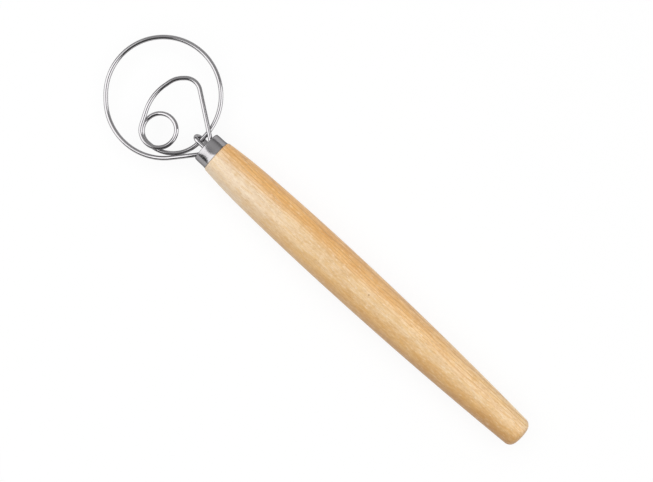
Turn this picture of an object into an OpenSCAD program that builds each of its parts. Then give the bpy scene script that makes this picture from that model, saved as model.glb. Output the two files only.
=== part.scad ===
// Dough whisk: a turned wooden handle, a steel ferrule and one long bent wire.
// Millimetres. The origin is the centre of the handle's flat butt, +X runs along the handle
// to the head, the head lies in the XY plane and +Z is its top side.

/* [Handle] */
// Length of the wood that shows, from the butt to the ferrule
handle_length = 256.5; // [220:0.5:290]
// Radius at the thickest place
grip_radius = 14.3; // [14:0.1:16]
// Distance of the thickest place from the ferrule
grip_to_ferrule = 91.5; // [80:0.5:94]
// Radius of the long curve behind the thickest place
back_curve_radius = 2880; // [2200:20:4000]
// Radius of the curve just in front of the thickest place
front_curve_radius = 1800; // [1600:50:4000]
// Radius of the quicker curve near the ferrule
neck_curve_radius = 390; // [320:10:1500]
// Distance of that quicker curve's start from the thickest place
neck_starts = 60; // [56:1:75]
// Radius of the rounded edge round the butt
butt_rounding = 4.6; // [2:0.1:5]
// Radius of the rounded edge behind the ferrule
shoulder_rounding = 1.4; // [0.5:0.1:1.7]

/* [Ferrule] */
// Outer radius halfway along
ferrule_radius = 10.25; // [10:0.05:10.4]
// How far the side flares out to its back edge
ferrule_flare = 0.2; // [0:0.05:0.3]
// How far the side draws in to its front edge
ferrule_draw = 0.13; // [0.05:0.01:0.2]
// Length that shows
ferrule_length = 8.8; // [8.5:0.1:12]
// Thickness of the sheet steel
ferrule_wall = 0.8; // [0.55:0.05:0.9]
// Radius of the rounded front edge
ferrule_rounding = 0.8; // [0.4:0.1:0.8]

/* [Wire] */
// Thickness of the wire
wire_thickness = 2.8; // [2:0.1:2.8]
// Number of sides of the swept wire
wire_sides = 12; // [8:4:16]

/* [Fixing] */
// Radius of the hole in the handle that takes the wire tails
socket_radius = 5.8; // [5.8:0.1:6.4]
// Depth of that hole behind the ferrule's front face
socket_depth = 38; // [34:1:60]
// Depth of the handle's front end behind the ferrule's front face
tenon_setback = 4.3; // [4.2:0.1:5]
// Depth of the resin's front face behind the ferrule's front face
resin_setback = 6.2; // [6.2:0.1:8]

/* [Hidden] */
$fn = 96;

head_x = handle_length + ferrule_length;
grip_at = handle_length - grip_to_ferrule;
wire_radius = wire_thickness / 2;
hole_radius = wire_radius + 0.1;
tenon_radius = ferrule_radius - ferrule_wall;
profile_steps = 72;
cap_steps = 12;
corner_steps = 8;

// The wire's route, seen from above. Each bend is [x, y, radius, z where it starts, z where it ends]
// with x counted from the ferrule's front face. A positive radius turns left, a negative one right.
tail_depth = 32;
route_start = [-tail_depth, -3.2, 1.7];
route_end = [-tail_depth + 2, 3.3, -0.4];
bends = [
    // Tail A comes out of the handle and leans out to the leg
    [-4, -9.2, -6, 1.7, 2.1],
    // Crown of the inner loop
    [31.5, -15.8, 9.2, 1.6, 1.5],
    [29, -10.6, 14.7, 1.5, 1.5],
    // Far side of the inner loop
    [14, -4, 30.8, 1.5, 1.5],
    // First pass round the small ring, on the upper side
    [28.3, 12.5, 10.9, 1.5, 1.4],
    // Second pass, which sinks to the lower side
    [27.8, 11.9, 10.4, 1.4, -1.4],
    [28, 12.5, 10.3, -1.4, -1.45],
    // Across the front of the handle, through the eye
    [27, 0.6, 22.1, -1.45, -0.95],
    // The big round loop, which dips and then climbs back to the ferrule
    [41.5, -4.6, 36.8, -0.95, -1.5],
    [41.4, -5.7, 35.8, -1.5, -2.8],
    [38.8, -4.4, 36.8, -2.8, -0.3],
    // Leans back in to tail B
    [-6.2, 9.3, -6, 2.7, -0.4]
];

// The eye's two legs, its bend and the height of the wire that it holds
eye_near = [1, 1.95];
eye_far = [-1.8, -3.85];
eye_bend_x = 5.3;
eye_tail_depth = 24;
eye_steps = 16;

// Longest sag allowed between a swept facet and the true curve
sag = 0.03;

function wrap(a) = a - 360 * floor(a / 360);
function side(h) = [sin(h), -cos(h)];

// Heading of the straight that leaves bend a and meets bend b without a kink
function heading(a, b) =
    let (dx = b[0] - a[0], dy = b[1] - a[1])
    atan2(dy, dx) + asin((a[2] - b[2]) / norm([dx, dy]));

// Climb of that straight for each millimetre of its length
function climb(a, b) =
    let (dx = b[0] - a[0], dy = b[1] - a[1], dr = b[2] - a[2])
    (b[3] - a[4]) / sqrt(dx * dx + dy * dy - dr * dr);

// Height on the way from z0 to z1, which starts and ends with the climbs given
function height(t, z0, z1, climb0, climb1) =
    let (u = 1 - t)
    u * u * (z0 * (1 + 2 * t) + climb0 * t) + t * t * (z1 * (1 + 2 * u) - climb1 * u);

// Points of bend number i, which goes from the straight before it into the straight after it
function bend_points(i) =
    let (
        b = stops[i],
        h0 = heading(stops[i - 1], b),
        h1 = heading(b, stops[i + 1]),
        turn = b[2] > 0 ? wrap(h1 - h0) : -wrap(h0 - h1),
        length = abs(b[2] * turn) * PI / 180,
        climb0 = length * climb(stops[i - 1], b),
        climb1 = length * climb(b, stops[i + 1]),
        step = 2 * acos(1 - sag / abs(b[2])),
        n = max(2, ceil(abs(turn) / step))
    )
    [for (j = [0:n])
        let (t = j / n, c = [b[0], b[1]] + b[2] * side(h0 + turn * t))
        [c[0], c[1], height(t, b[3], b[4], climb0, climb1)]];

// An end of the route as a bend without a radius
function stop_at(end) = [end[0], end[1], 0, end[2], end[2]];

stops = concat([stop_at(route_start)], bends, [stop_at(route_end)]);

route = concat(
    [route_start],
    [for (i = [1:len(bends)]) each bend_points(i)],
    [route_end]
);

function unit(v) = v / norm(v);

// Direction of the route at point i
function along(p, i) = unit(p[min(i + 1, len(p) - 1)] - p[max(i - 1, 0)]);

// One ring of points square to the path p, turned so that its top faces up
function ring(p, i, r, sides, up) =
    let (t = along(p, i), s = unit(cross(t, up)), u = cross(s, t))
    [for (k = [0:sides - 1]) p[i] + r * (cos(360 * k / sides) * s + sin(360 * k / sides) * u)];

// A closed tube with flat ends along the points p
module tube_along(p, r, sides, up = [0, 0, 1]) {
    n = len(p);
    points = [for (i = [0:n - 1]) each ring(p, i, r, sides, up)];
    walls = [for (i = [0:n - 2], k = [0:sides - 1])
        let (a = i * sides + k, b = i * sides + (k + 1) % sides)
        each [[a, b, b + sides], [a, b + sides, a + sides]]];
    first = [for (k = [1:sides - 2]) [0, k + 1, k]];
    last_start = (n - 1) * sides;
    last = [for (k = [1:sides - 2]) [last_start, last_start + k, last_start + k + 1]];
    polyhedron(points, concat(walls, first, last));
}

// Radius of the handle at a distance x from the butt
function handle_radius(x) =
    let (d = x - grip_at)
    d < 0 ? grip_radius - d * d / (2 * back_curve_radius)
    : d < neck_starts ? grip_radius - d * d / (2 * front_curve_radius)
    : let (
        drop = neck_starts * neck_starts / (2 * front_curve_radius),
        slope = neck_starts / front_curve_radius,
        e = d - neck_starts
    )
    grip_radius - drop - slope * e - e * e / (2 * neck_curve_radius);

// A cylinder along +X from x0 to x1, centred on [y, z]
module rod(x0, x1, r, at = [0, 0]) {
    translate([x0, at[0], at[1]]) rotate([0, 90, 0]) cylinder(h = x1 - x0, r = r);
}

// Turns a profile drawn as [distance along the axis, radius] round the X axis
module turned() {
    rotate([0, 90, 0]) rotate_extrude() rotate(90) mirror([0, 1]) children();
}

// Points of a rounded corner of radius r round the centre c, between two angles
function corner(c, r, from, to) =
    [for (i = [0:corner_steps])
        let (a = from + (to - from) * i / corner_steps) c + r * [cos(a), sin(a)]];

// Half profile of the handle: rounded butt, long curves, rounded shoulder and tenon
module handle_profile() {
    x0 = butt_rounding;
    x1 = handle_length - shoulder_rounding;
    butt_centre = [x0, handle_radius(x0) - butt_rounding];
    shoulder_centre = [x1, handle_radius(x1) - shoulder_rounding];
    curve = [for (i = [1:profile_steps - 1])
        let (x = x0 + (x1 - x0) * i / profile_steps) [x, handle_radius(x)]];
    tenon_end = head_x - tenon_setback;
    polygon(concat(
        [[0, 0]],
        corner(butt_centre, butt_rounding, 180, 90),
        curve,
        corner(shoulder_centre, shoulder_rounding, 90, 0),
        [[handle_length, tenon_radius], [tenon_end, tenon_radius], [tenon_end, 0]]
    ));
}

module handle() {
    color("BurlyWood")
    difference() {
        turned() handle_profile();
        rod(head_x - socket_depth, head_x, socket_radius);
    }
}

// Radius of the ferrule's side, from its back edge (t = 0) to its rounded front edge (t = 1)
function cap_radius(t) =
    ferrule_radius + ferrule_flare * pow(max(0, 1 - 2 * t), 3) - ferrule_draw * pow(max(0, 2 * t - 1), 3);

// Half profile of the ferrule: a side, a rounded front edge and a closed face, all of sheet steel
module cap_profile() {
    side_length = ferrule_length - ferrule_rounding;
    inner_face = ferrule_length - ferrule_wall;
    side = [for (i = [0:cap_steps]) let (t = i / cap_steps) [side_length * t, cap_radius(t)]];
    corner_centre = [side_length, cap_radius(1) - ferrule_rounding];
    corner_starts = 90 - atan(6 * ferrule_draw / side_length);
    polygon(concat(
        [[0, tenon_radius]],
        side,
        corner(corner_centre, ferrule_rounding, corner_starts, 0),
        [[ferrule_length, 0], [inner_face, 0], [inner_face, tenon_radius]]
    ));
}

// The straight that leaves bend number i, as its first and last point
function straight_after(i) =
    let (p = bend_points(i))
    [p[len(p) - 1], bend_points(i + 1)[0]];

// A hole through the ferrule's face for the wire that runs along a straight
module leaning_hole(straight) {
    start = straight[0];
    d = unit(straight[1] - start);
    at_face = start - d * (start[0] / d[0]);
    translate([head_x, 0, 0] + at_face) rotate([0, acos(d[2]), atan2(d[1], d[0])])
        cylinder(h = 3 * wire_thickness, r = hole_radius, center = true);
}

module ferrule() {
    color("Silver")
    difference() {
        translate([handle_length, 0, 0]) turned() cap_profile();
        leaning_hole(straight_after(1));
        leaning_hole(straight_after(len(bends) - 1));
        rod(head_x - 2, head_x + 2, hole_radius, eye_near);
        rod(head_x - 2, head_x + 2, hole_radius, eye_far);
    }
}

module whisk_wire() {
    color("Gainsboro") translate([head_x, 0, 0]) tube_along(route, wire_radius, wire_sides);
}

module wire_eye() {
    across = (eye_near - eye_far) / 2;
    middle = (eye_near + eye_far) / 2;
    bend = [for (i = [0:eye_steps])
        let (a = 180 * i / eye_steps, c = middle + across * cos(a))
        [eye_bend_x + norm(across) * sin(a), c[0], c[1]]];
    path = concat(
        [[-eye_tail_depth, eye_near[0], eye_near[1]]],
        bend,
        [[-eye_tail_depth, eye_far[0], eye_far[1]]]
    );
    color("Gainsboro") translate([head_x, 0, 0])
        tube_along(path, wire_radius, wire_sides, [0, -across[1], across[0]]);
}

module resin_plug() {
    front = head_x - resin_setback;
    tails = [
        [route_start[1], route_start[2], tail_depth],
        [route_end[1], route_end[2], tail_depth - 2],
        [eye_near[0], eye_near[1], eye_tail_depth],
        [eye_far[0], eye_far[1], eye_tail_depth]
    ];
    color("Wheat")
    difference() {
        rod(head_x - socket_depth, front, socket_radius);
        for (t = tails) rod(head_x - t[2], front + 1, wire_radius, [t[0], t[1]]);
    }
}

// Checks on the route, printed when the model is built
function total(v, i = 0) = i >= len(v) ? 0 : v[i] + total(v, i + 1);
route_length = total([for (i = [1:len(route) - 1]) norm(route[i] - route[i - 1])]);
echo(wire_length = route_length, rings = len(route));

handle();
ferrule();
whisk_wire();
wire_eye();
resin_plug();
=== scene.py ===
"""A dough whisk: a turned wooden handle, a steel ferrule and one long bent wire.

The frame's origin is the centre of the handle's butt. +X runs to the head and +Z is its top side.
"""
from math import acos, asin, atan2, ceil, cos, degrees, hypot, pi, radians, sin, sqrt, tau

import bpy
from mathutils import Matrix, Vector


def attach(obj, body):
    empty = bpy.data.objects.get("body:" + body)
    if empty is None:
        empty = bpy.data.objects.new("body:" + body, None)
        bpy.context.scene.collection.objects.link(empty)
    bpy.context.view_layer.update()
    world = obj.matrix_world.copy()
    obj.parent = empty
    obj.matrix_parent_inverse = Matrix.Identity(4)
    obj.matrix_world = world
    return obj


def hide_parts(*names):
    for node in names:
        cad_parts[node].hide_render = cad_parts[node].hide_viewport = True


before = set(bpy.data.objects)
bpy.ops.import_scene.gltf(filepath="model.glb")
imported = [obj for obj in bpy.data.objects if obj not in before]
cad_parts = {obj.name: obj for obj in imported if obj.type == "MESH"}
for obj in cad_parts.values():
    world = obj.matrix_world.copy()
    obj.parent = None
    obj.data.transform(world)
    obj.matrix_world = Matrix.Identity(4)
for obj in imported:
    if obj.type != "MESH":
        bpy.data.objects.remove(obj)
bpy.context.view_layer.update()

MM = 0.001

# Handle, in millimetres
HANDLE_LENGTH = 256.5
GRIP_RADIUS = 14.3
GRIP_TO_FERRULE = 91.5
GRIP_AT = HANDLE_LENGTH - GRIP_TO_FERRULE
BACK_CURVE_RADIUS = 2880
FRONT_CURVE_RADIUS = 1800
NECK_CURVE_RADIUS = 390
NECK_STARTS = 60
BUTT_ROUNDING = 4.6
SHOULDER_ROUNDING = 1.4
TENON_SETBACK = 4.3
SOCKET_RADIUS = 5.8
SOCKET_DEPTH = 38
HANDLE_SIDES = 128
HANDLE_STATIONS = 110
BUTT_STEPS = 12

# Ferrule
FERRULE_RADIUS = 10.25
FERRULE_LENGTH = 8.8
FERRULE_WALL = 0.8
FERRULE_ROUNDING = 0.8
FERRULE_FLARE = 0.2
FERRULE_DRAW = 0.13
FERRULE_SIDES = 128
FERRULE_STATIONS = 24
CORNER_STEPS = 8
SIDE_LENGTH = FERRULE_LENGTH - FERRULE_ROUNDING
HEAD_X = HANDLE_LENGTH + FERRULE_LENGTH
TENON_RADIUS = FERRULE_RADIUS - FERRULE_WALL

# A turned piece starts from a small disc, and the butt's flat has one more ring
DISC_RADIUS = 1
BUTT_RING_RADIUS = 4

# Wire
WIRE_RADIUS = 1.4
WIRE_SIDES = 24
WIRE_SAG = 0.004
HOLE_CLEARANCE = 0.1
DRILL_REACH = 3
DRILL_SIDES = 48
MERGE_DISTANCE = 0.001

# Edges sharper than these angles stay sharp
WIRE_SMOOTHING = radians(40)
TURNED_SMOOTHING = radians(35)

# The wire's route, seen from above. Each bend is (x, y, radius, z where it starts, z where it ends)
# with x counted from the ferrule's front face. A positive radius turns left, a negative one right.
TAIL_DEPTH = 32
ROUTE_START = (-TAIL_DEPTH, -3.2, 1.7)
ROUTE_END = (-TAIL_DEPTH + 2, 3.3, -0.4)
BENDS = [
    (-4, -9.2, -6, 1.7, 2.1),
    (31.5, -15.8, 9.2, 1.6, 1.5),
    (29, -10.6, 14.7, 1.5, 1.5),
    (14, -4, 30.8, 1.5, 1.5),
    (28.3, 12.5, 10.9, 1.5, 1.4),
    (27.8, 11.9, 10.4, 1.4, -1.4),
    (28, 12.5, 10.3, -1.4, -1.45),
    (27, 0.6, 22.1, -1.45, -0.95),
    (41.5, -4.6, 36.8, -0.95, -1.5),
    (41.4, -5.7, 35.8, -1.5, -2.8),
    (38.8, -4.4, 36.8, -2.8, -0.3),
    (-6.2, 9.3, -6, 2.7, -0.4),
]

# The eye: y and z of its two legs, and x where its bend starts
EYE_NEAR = (1, 1.95)
EYE_FAR = (-1.8, -3.85)
EYE_BEND_X = 5.3
EYE_TAIL_DEPTH = 24
EYE_STEPS = 32

# The photograph's frame, and the camera's
PHOTO_WIDTH = 653
PHOTO_HEIGHT = 482
FERRULE_FACE_PIXEL = (205.8, 146.3)
AXIS_ANGLE = radians(42.6)
MM_PER_PIXEL = 0.62
CAMERA_HEIGHT = 975
PICTURE_RIGHT = Vector((-cos(AXIS_ANGLE), -sin(AXIS_ANGLE), 0))
PICTURE_UP = Vector((sin(AXIS_ANGLE), -cos(AXIS_ANGLE), 0))
SENSOR_WIDTH = 36

# The studio, in metres. The whiteness is how much of the floor's look is plain white
LAMPS_FACE = Vector((0.9 * HEAD_X * MM, 0, 0))
FLOOR_SIZE = 30
FLOOR_CENTRE = (0.15, 0, -GRIP_RADIUS * MM)
FLOOR_WHITENESS = 0.88

# Colours of the wood
GOLDEN = (0.84, 0.61, 0.355, 1)
PALE = (0.87, 0.72, 0.55, 1)
# Painted light: a paler tone laid on the warm side toward the butt, as if that side were lit more
# strongly
PAINTED_SIDE_LIGHT = (0.99, 0.76, 0.46, 1)
WARM = (0.88, 0.51, 0.185, 1)
AMBER = (0.80, 0.52, 0.24, 1)
BROWN = (0.52, 0.27, 0.08, 1)
BLUSH_TINT = (0.97, 0.91, 0.76, 1)
RING_LINE = (0.56, 0.26, 0.07, 1)
END_GRAIN = (0.66, 0.42, 0.20, 1)
PORE = (0.44, 0.25, 0.10, 1)
# Painted sheen: pale glints laid into the wood's colour
PAINTED_SHEEN = (0.95, 0.82, 0.62, 1)
FLECK = (0.42, 0.20, 0.08, 1)

# Distance between the wood's rings, and the place of a small brown fleck on top
RING_SPACING = 1.9
FLECK_AT = (129.1, -0.6, 14.1)


# The wire's route

def heading(a, b):
    """Heading of the straight that leaves bend a and meets bend b without a kink."""
    dx, dy = b[0] - a[0], b[1] - a[1]
    return atan2(dy, dx) + asin((a[2] - b[2]) / hypot(dx, dy))


def climb(a, b):
    """Climb of that straight for each millimetre of its length."""
    return (b[3] - a[4]) / sqrt((b[0] - a[0]) ** 2 + (b[1] - a[1]) ** 2 - (b[2] - a[2]) ** 2)


def height(t, z0, z1, climb0, climb1):
    """Height on the way from z0 to z1, which starts and ends with the climbs given."""
    u = 1 - t
    return u * u * (z0 * (1 + 2 * t) + climb0 * t) + t * t * (z1 * (1 + 2 * u) - climb1 * u)


def stop_at(end):
    """An end of the route as a bend without a radius."""
    x, y, z = end
    return x, y, 0, z, z


STOPS = [stop_at(ROUTE_START), *BENDS, stop_at(ROUTE_END)]


def bend_points(i):
    """Points of bend number i, which goes from the straight before it into the straight after it."""
    before, bend, after = STOPS[i - 1:i + 2]
    x, y, radius, z0, z1 = bend
    start, end = heading(before, bend), heading(bend, after)
    turn = (end - start) % tau if radius > 0 else -((start - end) % tau)
    length = abs(radius * turn)
    climb0, climb1 = length * climb(before, bend), length * climb(bend, after)
    step = 2 * acos(1 - WIRE_SAG / abs(radius))
    count = max(2, ceil(abs(turn) / step))
    points = []
    for j in range(count + 1):
        t = j / count
        h = start + turn * t
        z = height(t, z0, z1, climb0, climb1)
        points.append((x + radius * sin(h), y - radius * cos(h), z))
    return points


def straight_after(i):
    """The straight that leaves bend number i, as its first and last point."""
    return bend_points(i)[-1], bend_points(i + 1)[0]


def wire_route():
    """Points of the whisk wire from tail to tail."""
    points = [ROUTE_START]
    for i in range(1, len(BENDS) + 1):
        points += bend_points(i)
    return points + [ROUTE_END]


def eye_route():
    """Points of the eye: out along its near leg, round, and back along its far leg."""
    middle = [(a + b) / 2 for a, b in zip(EYE_NEAR, EYE_FAR)]
    across = [(a - b) / 2 for a, b in zip(EYE_NEAR, EYE_FAR)]
    radius = hypot(*across)
    points = [(-EYE_TAIL_DEPTH,) + EYE_NEAR]
    for i in range(EYE_STEPS + 1):
        a = pi * i / EYE_STEPS
        points.append((EYE_BEND_X + radius * sin(a),
                       middle[0] + across[0] * cos(a),
                       middle[1] + across[1] * cos(a)))
    return points + [(-EYE_TAIL_DEPTH,) + EYE_FAR]


def handle_radius(x):
    """Radius of the handle at a distance x from the butt."""
    d = x - GRIP_AT
    if d < 0:
        return GRIP_RADIUS - d * d / (2 * BACK_CURVE_RADIUS)
    if d < NECK_STARTS:
        return GRIP_RADIUS - d * d / (2 * FRONT_CURVE_RADIUS)
    drop = NECK_STARTS ** 2 / (2 * FRONT_CURVE_RADIUS)
    slope = NECK_STARTS / FRONT_CURVE_RADIUS
    e = d - NECK_STARTS
    return GRIP_RADIUS - drop - slope * e - e * e / (2 * NECK_CURVE_RADIUS)


# Modelling helpers

def rename(obj, name):
    obj.name = name
    obj.data.name = name
    return obj


def select_only(obj):
    bpy.ops.object.select_all(action="DESELECT")
    obj.select_set(True)
    bpy.context.view_layer.objects.active = obj


def tube(name, route):
    """A round wire along a route given from the ferrule's front face, as a mesh."""
    curve = bpy.data.curves.new(name, "CURVE")
    curve.dimensions = "3D"
    curve.bevel_depth = WIRE_RADIUS * MM
    curve.bevel_resolution = WIRE_SIDES // 4 - 1
    curve.use_fill_caps = True
    spline = curve.splines.new("POLY")
    spline.points.add(len(route) - 1)
    for point, (x, y, z) in zip(spline.points, route):
        point.co = ((HEAD_X + x) * MM, y * MM, z * MM, 1)
    obj = bpy.data.objects.new(name, curve)
    bpy.context.collection.objects.link(obj)
    select_only(obj)
    bpy.ops.object.convert(target="MESH")
    obj = bpy.context.active_object
    bpy.ops.object.mode_set(mode="EDIT")
    bpy.ops.mesh.select_all(action="SELECT")
    bpy.ops.mesh.remove_doubles(threshold=MERGE_DISTANCE * MM)
    bpy.ops.mesh.normals_make_consistent(inside=False)
    bpy.ops.object.mode_set(mode="OBJECT")
    bpy.ops.object.shade_smooth_by_angle(angle=WIRE_SMOOTHING)
    return rename(obj, name)


def turned(name, profile, sides):
    """A piece turned round the X axis: a disc that is extruded from station to station."""
    bpy.ops.object.select_all(action="DESELECT")
    x, r = profile[0]
    bpy.ops.mesh.primitive_circle_add(vertices=sides, radius=r * MM, fill_type="NGON",
                                      location=(x * MM, 0, 0), rotation=(0, pi / 2, 0))
    obj = bpy.context.active_object
    bpy.ops.object.transform_apply(location=True, rotation=True, scale=True)
    bpy.ops.object.mode_set(mode="EDIT")
    bpy.ops.mesh.select_all(action="SELECT")
    for (x0, r0), (x1, r1) in zip(profile, profile[1:]):
        bpy.ops.mesh.extrude_region_move(
            TRANSFORM_OT_translate={"value": ((x1 - x0) * MM, 0, 0)})
        bpy.ops.transform.resize(value=(1, r1 / r0, r1 / r0), center_override=(x1 * MM, 0, 0))
    bpy.ops.mesh.select_all(action="SELECT")
    bpy.ops.mesh.normals_make_consistent(inside=False)
    bpy.ops.object.mode_set(mode="OBJECT")
    return rename(obj, name)


def corner(x, r, radius, start, end, steps):
    """Stations of a rounded corner round the point (x, r), between two angles in degrees."""
    stations = []
    for i in range(steps + 1):
        a = radians(start + (end - start) * i / steps)
        stations.append((x + radius * cos(a), r + radius * sin(a)))
    return stations


def drill(obj, start, end, radius):
    """A round hole between two points given in millimetres."""
    a, b = Vector(start) * MM, Vector(end) * MM
    turn = (b - a).to_track_quat("Z", "Y").to_euler()
    bpy.ops.object.select_all(action="DESELECT")
    bpy.ops.mesh.primitive_cylinder_add(vertices=DRILL_SIDES, radius=radius * MM, depth=(b - a).length,
                                        location=(a + b) / 2, rotation=turn)
    cutter = bpy.context.active_object
    select_only(obj)
    modifier = obj.modifiers.new("hole", "BOOLEAN")
    modifier.operation = "DIFFERENCE"
    modifier.solver = "EXACT"
    modifier.object = cutter
    bpy.ops.object.modifier_apply(modifier=modifier.name)
    bpy.data.objects.remove(cutter)


# Shader helpers

class Value:
    """A shader socket that Python's operators work on."""

    def __init__(self, tree, socket):
        self.tree = tree
        self.socket = socket

    def math(self, operation, first, second):
        return node(self.tree, "Math", {"operation": operation}, {0: first, 1: second})

    def __add__(self, other):
        return self.math("ADD", self, other)

    def __radd__(self, other):
        return self.math("ADD", other, self)

    def __sub__(self, other):
        return self.math("SUBTRACT", self, other)

    def __rsub__(self, other):
        return self.math("SUBTRACT", other, self)

    def __mul__(self, other):
        return self.math("MULTIPLY", self, other)

    def __rmul__(self, other):
        return self.math("MULTIPLY", other, self)

    def __truediv__(self, other):
        return self.math("DIVIDE", self, other)

    def __rtruediv__(self, other):
        return self.math("DIVIDE", other, self)

    def __mod__(self, other):
        return self.math("FLOORED_MODULO", self, other)

    def __rmod__(self, other):
        return self.math("FLOORED_MODULO", other, self)


def node(tree, kind, settings=None, sockets=None, output=0):
    """Adds a node: its type, its settings, then the value or link of each socket."""
    made = tree.nodes.new("ShaderNode" + kind)
    for key, value in (settings or {}).items():
        if key == "stops":
            set_stops(made.color_ramp.elements, value)
        else:
            setattr(made, key, value)
    for key, value in (sockets or {}).items():
        plug(tree, made.inputs[key], value)
    return Value(tree, made.outputs[output])


def set_stops(elements, stops):
    """Positions and colours of a ramp."""
    while len(elements) < len(stops):
        elements.new(0.5)
    for element, (position, colour) in zip(elements, stops):
        element.position = position
        element.color = (*colour, 1)


def plug(tree, socket, value):
    """Gives a socket a link or a constant."""
    if isinstance(value, Value):
        tree.links.new(value.socket, socket)
    else:
        socket.default_value = value


def soft_step(tree, value, low, high):
    """0 at low, 1 at high, with a soft change between."""
    settings = {"interpolation_type": "SMOOTHSTEP", "clamp": True}
    return node(tree, "MapRange", settings, {"Value": value, "From Min": low, "From Max": high})


def ray_kinds(tree):
    """Three switches: the ray comes from the camera, from a reflection or through glass."""
    kinds = ("Is Camera Ray", "Is Glossy Ray", "Is Transmission Ray")
    return [node(tree, "LightPath", output=kind) for kind in kinds]


class Finish:
    """A material under construction."""

    def __init__(self, name):
        self.material = bpy.data.materials.new(name)
        self.material.use_nodes = True
        self.tree = self.material.node_tree
        self.shader = self.tree.nodes["Principled BSDF"]

    def node(self, kind, settings=None, sockets=None, output=0):
        return node(self.tree, kind, settings, sockets, output)

    def ramp(self, value, stops):
        return self.node("ValToRGB", {"stops": stops}, {0: value})

    def mask(self, value, low, high):
        return soft_step(self.tree, value, low, high)

    def blend(self, factor, first, second, how="MIX"):
        settings = {"data_type": "RGBA", "blend_type": how}
        return self.node("Mix", settings, {0: factor, 6: first, 7: second}, 2)

    def place(self, stretch=(1, 1, 1), shift=(0, 0, 0)):
        """Object coordinates in millimetres, squeezed by one factor for each axis, then shifted."""
        point = self.node("TexCoord", output="Object")
        scale = [s / MM for s in stretch]
        sockets = {"Vector": point, "Scale": scale, "Location": shift}
        return self.node("Mapping", {"vector_type": "POINT"}, sockets)

    def noise(self, stretch, detail=2.0, roughness=0.5, shift=(0, 0, 0)):
        point = self.place(stretch, shift)
        sockets = {"Vector": point, "Scale": 1.0, "Detail": detail, "Roughness": roughness}
        return self.node("TexNoise", {}, sockets)

    def bump(self, height, depth):
        """Bump from a height of 0 to 1 that stands for a depth in millimetres."""
        normal = self.node("Bump", {}, {"Height": height, "Distance": depth * MM, "Strength": 1.0})
        plug(self.tree, self.shader.inputs["Normal"], normal)

    def set(self, **values):
        """Values of the shader's sockets, with _ for a space in their names."""
        for key, value in values.items():
            plug(self.tree, self.shader.inputs[key.replace("_", " ")], value)


def lacquered_wood():
    """Turned wood: pale in front and golden behind, warm on one side and browner on the other."""
    f = Finish("lacquered_wood")
    point = f.place()
    along, across, up = [f.node("SeparateXYZ", {}, {0: point}, axis) for axis in range(3)]

    # Depth, in millimetres, runs through the rings from the browner side to the warm one
    drift = f.noise((0.007, 0.05, 0.05), detail=2) - 0.5
    wander = f.noise((0.015, 0.16, 0.16), detail=2, shift=(3, 1, 8)) - 0.5
    depth = up * 0.22 - across + drift * 8 + wander * 3

    # Broad colours, with painted light that lightens the warm side toward the butt
    paleness = f.mask(along + wander * 60, 165, 262)
    painted_side_light = f.mask(depth, 5, 11) * f.mask(along, 150, 90)
    warmth = f.mask(depth, 3, 11.5) * f.mask(along, -60, 210)
    side = depth + along * 0.055
    ambering = f.mask(side, 7, 0) * (1 - paleness)
    browning = f.mask(side, 1, -9.5)
    colour = f.blend(paleness, GOLDEN, PALE)
    # Painted light: the paler tone that lightens the warm side toward the butt
    colour = f.blend(painted_side_light * 0.85, colour, PAINTED_SIDE_LIGHT)
    colour = f.blend(warmth, colour, WARM)
    colour = f.blend(ambering, colour, AMBER)
    colour = f.blend(browning, colour, BROWN)

    # Figure, a little stronger behind
    clouds = f.noise((0.06, 0.25, 0.25), detail=4, roughness=0.6)
    fibres = f.noise((0.14, 1.5, 1.5), detail=4, roughness=0.65, shift=(2, 9, 4))
    specks = f.noise((0.45, 0.9, 0.9), detail=3, roughness=0.75, shift=(6, 4, 1))
    tone = clouds * 0.35 + fibres * 0.3 + specks * 0.35
    behind = f.mask(along, 200, 120)
    figure = f.ramp((tone - 0.5) * (behind * 0.15 + 1) + 0.5,
                    [(0.39, (0.82, 0.71, 0.57)), (0.5, (0.92, 0.88, 0.82)), (0.61, (1.0, 1.0, 1.0))])
    colour = f.blend(1.0, colour, figure, "MULTIPLY")
    blush = f.mask(f.noise((0.12, 0.7, 0.7), detail=3, roughness=0.6, shift=(1, 7, 2)), 0.46, 0.62)
    colour = f.blend(behind * blush * 0.35 + blush * 0.8, colour, BLUSH_TINT, "MULTIPLY")

    # Ring lines, clearest on the warm side and on the butt
    ring = (depth + fibres * 0.8) % RING_SPACING / RING_SPACING
    line = f.mask(ring, 0.55, 0.92) * f.mask(ring, 1.0, 0.92)
    end_grain = f.mask(along, 2.2, 0.3)
    showing = f.mask(depth, 2, 8) * 0.5 + end_grain * 0.3 + 0.08
    colour = f.blend(line * showing, colour, RING_LINE)
    colour = f.blend(end_grain * 0.25, colour, END_GRAIN)

    # Dark pores, painted pale glints and the fleck
    pores = f.mask(f.noise((0.45, 3.0, 3.0), detail=2, shift=(5, 2, 6)), 0.58, 0.72)
    colour = f.blend(pores * 0.45, colour, PORE)
    painted_sheen = f.mask(f.noise((0.30, 1.3, 1.3), detail=2, shift=(7, 3, 5)), 0.55, 0.72)
    colour = f.blend(painted_sheen * (f.mask(depth, -8, 1) * 0.1 + 0.25), colour, PAINTED_SHEEN)
    from_fleck = f.node("VectorMath", {"operation": "DISTANCE"}, {0: point, 1: FLECK_AT}, "Value")
    colour = f.blend(f.mask(from_fleck, 0.9, 0.3) * 0.7, colour, FLECK)

    f.set(Base_Color=colour, Roughness=fibres * 0.14 + 0.36, Coat_Weight=0.12, Coat_Roughness=0.3)
    f.bump(1 - pores * 0.6 + fibres * 0.25, 0.03)
    return f.material


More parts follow.
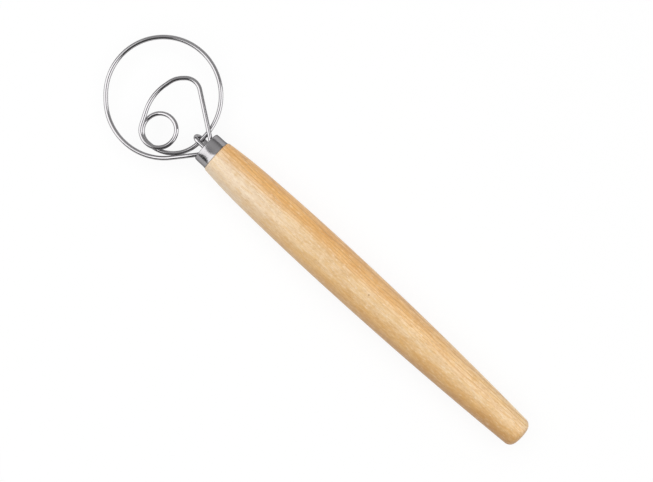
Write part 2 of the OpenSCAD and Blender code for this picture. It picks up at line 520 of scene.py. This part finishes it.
def drawn_steel(name, colour, roughness, stretch):
    """Polished steel with faint lines, a little darker along them."""
    f = Finish(name)
    lines = f.noise(stretch, detail=3, roughness=0.6)
    clouds = f.noise((0.15, 0.15, 0.15), detail=2)
    dark = [c * 0.88 for c in colour]
    tone = f.blend(lines, (*colour, 1), (*dark, 1))
    f.set(Base_Color=tone, Metallic=1.0, Roughness=lines * 0.06 + clouds * 0.05 + roughness,
          Specular_Tint=(0.3, 0.3, 0.3, 1))
    f.bump(lines, 0.002)
    return f.material


def set_resin():
    """Cloudy amber resin."""
    f = Finish("set_resin")
    clouds = f.noise((0.3, 0.3, 0.3), detail=4)
    colour = f.ramp(clouds, [(0.3, (0.66, 0.52, 0.28)), (0.7, (0.82, 0.70, 0.44))])
    f.set(Base_Color=colour, Roughness=clouds * 0.15 + 0.2)
    return f.material


def dress(obj, material):
    obj.data.materials.clear()
    obj.data.materials.append(material)


# Handle

def make_handle():
    """The turned wood, with its tenon and the blind hole for the wire's tails."""
    x0, x1 = BUTT_ROUNDING, HANDLE_LENGTH - SHOULDER_ROUNDING
    tenon_end = HEAD_X - TENON_SETBACK
    curve = []
    for i in range(1, HANDLE_STATIONS):
        x = x0 + (x1 - x0) * i / HANDLE_STATIONS
        curve.append((x, handle_radius(x)))
    profile = [(0, DISC_RADIUS), (0, BUTT_RING_RADIUS)]
    profile += corner(x0, handle_radius(x0) - BUTT_ROUNDING, BUTT_ROUNDING, 180, 90, BUTT_STEPS)
    profile += curve
    profile += corner(x1, handle_radius(x1) - SHOULDER_ROUNDING, SHOULDER_ROUNDING, 90, 0, CORNER_STEPS)
    profile += [(HANDLE_LENGTH, TENON_RADIUS), (tenon_end, TENON_RADIUS), (tenon_end, SOCKET_RADIUS),
                (HEAD_X - SOCKET_DEPTH, SOCKET_RADIUS)]
    handle = turned("handle_wood", profile, HANDLE_SIDES)
    bpy.ops.object.shade_smooth_by_angle(angle=TURNED_SMOOTHING)
    return handle


# Ferrule

def ferrule_radius(t):
    """Radius of the cap's side, which flares at the wood (t = 0) and draws in at the face (t = 1)."""
    flare = FERRULE_FLARE * max(0, 1 - 2 * t) ** 3
    draw = FERRULE_DRAW * max(0, 2 * t - 1) ** 3
    return FERRULE_RADIUS + flare - draw


def make_ferrule():
    """A drawn cap with a closed front, drilled where the wires go through it."""
    inner_face, side_end = HEAD_X - FERRULE_WALL, HANDLE_LENGTH + SIDE_LENGTH
    profile = [(inner_face, DISC_RADIUS), (inner_face, TENON_RADIUS), (HANDLE_LENGTH, TENON_RADIUS)]
    for i in range(FERRULE_STATIONS + 1):
        t = i / FERRULE_STATIONS
        profile.append((HANDLE_LENGTH + SIDE_LENGTH * t, ferrule_radius(t)))
    corner_starts = 90 - degrees(atan2(6 * FERRULE_DRAW, SIDE_LENGTH))
    centre_radius = ferrule_radius(1) - FERRULE_ROUNDING
    profile += corner(side_end, centre_radius, FERRULE_ROUNDING, corner_starts, 0, CORNER_STEPS)
    profile += [(HEAD_X, DISC_RADIUS)]
    cap = turned("ferrule_cap", profile, FERRULE_SIDES)
    for straight in (straight_after(1), straight_after(len(BENDS) - 1)):
        drill_face(cap, *straight)
    for y, z in (EYE_NEAR, EYE_FAR):
        drill_face(cap, (-1, y, z), (1, y, z))
    select_only(cap)
    bpy.ops.object.shade_smooth_by_angle(angle=TURNED_SMOOTHING)
    return cap


def drill_face(cap, a, b):
    """A hole through the ferrule's face along a line, given from that face."""
    start = Vector(a)
    along = (Vector(b) - start).normalized()
    at_face = Vector((HEAD_X, 0, 0)) + start - along * (start.x / along.x)
    reach = along * DRILL_REACH
    drill(cap, at_face - reach, at_face + reach, WIRE_RADIUS + HOLE_CLEARANCE)


handle = make_handle()
dress(handle, lacquered_wood())
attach(handle, "root")
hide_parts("handle")

ferrule = make_ferrule()
ferrule_steel = drawn_steel("ferrule_steel", (0.38, 0.37, 0.38), 0.15, (6, 0.5, 0.5))
dress(ferrule, ferrule_steel)
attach(ferrule, "root")
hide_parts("ferrule")

wire_steel = drawn_steel("wire_steel", (0.42, 0.41, 0.42), 0.03, (1.5, 1.5, 1.5))
wire = tube("whisk_wire_drawn", wire_route())
dress(wire, wire_steel)
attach(wire, "root")
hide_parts("whisk_wire")

eye = tube("wire_eye_drawn", eye_route())
dress(eye, wire_steel)
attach(eye, "root")
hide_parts("wire_eye")

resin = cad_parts["resin_plug"].data
resin.materials.clear()
resin.materials.append(set_resin())


# Floor, light and camera

def make_floor():
    """White, and lit by the lamps, so that it keeps a soft shadow."""
    bpy.ops.object.select_all(action="DESELECT")
    bpy.ops.mesh.primitive_plane_add(size=FLOOR_SIZE, location=FLOOR_CENTRE)
    floor = rename(bpy.context.active_object, "floor")
    f = Finish("white_floor")
    clouds = f.noise((0.02, 0.02, 0.02), detail=1)
    tone = f.ramp(clouds, [(0.0, (0.95, 0.95, 0.95)), (1.0, (0.97, 0.97, 0.97))])
    f.set(Base_Color=tone, Roughness=0.9, Specular_IOR_Level=0.0)
    camera, glossy, glass = ray_kinds(f.tree)
    glow = f.node("Emission", {}, {"Color": (1, 1, 1, 1), "Strength": 1.0})
    lit = Value(f.tree, f.shader.outputs[0])
    mixed = f.node("MixShader", {}, {0: (camera + glossy + glass) * FLOOR_WHITENESS, 1: lit, 2: glow})
    plug(f.tree, f.tree.nodes["Material Output"].inputs["Surface"], mixed)
    floor.data.materials.append(f.material)


def studio_direction(around, tilt):
    """Direction from the object: around the picture from its right side, and tilt from straight up."""
    a, t = radians(around), radians(tilt)
    flat = PICTURE_RIGHT * cos(a) + PICTURE_UP * sin(a)
    return flat * sin(t) + Vector((0, 0, 1)) * cos(t)


def softbox(name, around, tilt, distance, size, power, glossy=True, diffuse=True):
    """A rectangular lamp that faces the object. size is its width along the floor, then its height."""
    direction = studio_direction(around, tilt)
    data = bpy.data.lights.new(name, "AREA")
    data.shape = "RECTANGLE"
    data.size, data.size_y = size
    data.energy = power
    lamp = bpy.data.objects.new(name, data)
    lamp.location = LAMPS_FACE + direction * distance
    lamp.rotation_euler = direction.to_track_quat("Z", "Y").to_euler()
    lamp.visible_camera = False
    lamp.visible_glossy = glossy
    lamp.visible_diffuse = diffuse
    bpy.context.collection.objects.link(lamp)


def make_camera():
    """Straight above, rolled so that the handle's axis lies as in the photograph."""
    right = (PHOTO_WIDTH / 2 - FERRULE_FACE_PIXEL[0]) * MM_PER_PIXEL
    down = (PHOTO_HEIGHT / 2 - FERRULE_FACE_PIXEL[1]) * MM_PER_PIXEL
    centre = Vector((HEAD_X, 0, 0)) + PICTURE_RIGHT * right - PICTURE_UP * down
    data = bpy.data.cameras.new("camera")
    data.sensor_width = SENSOR_WIDTH
    data.lens = SENSOR_WIDTH * CAMERA_HEIGHT / (PHOTO_WIDTH * MM_PER_PIXEL)
    camera = bpy.data.objects.new("camera", data)
    turn = Matrix((PICTURE_RIGHT, PICTURE_UP, Vector((0, 0, 1)))).transposed()
    place = (centre + Vector((0, 0, CAMERA_HEIGHT))) * MM
    camera.matrix_world = Matrix.Translation(place) @ turn.to_4x4()
    bpy.context.collection.objects.link(camera)
    bpy.context.scene.camera = camera


def make_world():
    """A dim studio, nearly dark near the floor and grey above, behind a low white backdrop."""
    world = bpy.data.worlds.new("studio")
    world.use_nodes = True
    tree = world.node_tree
    studio = tree.nodes["Background"]
    direction = node(tree, "TexCoord")
    up = node(tree, "SeparateXYZ", {}, {0: direction}, 2)
    stops = [(0.0, (0.07,) * 3), (0.25, (0.22,) * 3), (0.5, (0.42,) * 3), (1.0, (0.62,) * 3)]
    plug(tree, studio.inputs["Color"], node(tree, "ValToRGB", {"stops": stops}, {0: up}))
    lean = node(tree, "VectorMath", {"operation": "DOT_PRODUCT"}, {0: direction, 1: PICTURE_UP}, "Value")
    plug(tree, studio.inputs["Strength"], soft_step(tree, lean, -0.7, 0.9) * 1.25 + 0.15)

    camera, glossy, glass = ray_kinds(tree)
    backdrop = node(tree, "Background", {}, {"Color": (1, 1, 1, 1), "Strength": 1.0})
    white = camera + (glossy + glass) * soft_step(tree, up, 0.05, 0.02)
    mixed = node(tree, "MixShader", {}, {0: white, 1: Value(tree, studio.outputs[0]), 2: backdrop})
    plug(tree, tree.nodes["World Output"].inputs["Surface"], mixed)
    bpy.context.scene.world = world


make_floor()
make_camera()
make_world()

# The overhead lamp lights the wood and the floor, and the steel reflects the other two
softbox("overhead", around=235, tilt=6, distance=1.3, size=(2.6, 2.6), power=28, glossy=False)
softbox("left_box", around=180, tilt=51.5, distance=0.8, size=(0.95, 1.1), power=7.1, diffuse=False)
softbox("right_box", around=351, tilt=58, distance=0.8, size=(0.75, 0.9), power=5.2, diffuse=False)

bpy.context.scene.view_settings.view_transform = "Standard"
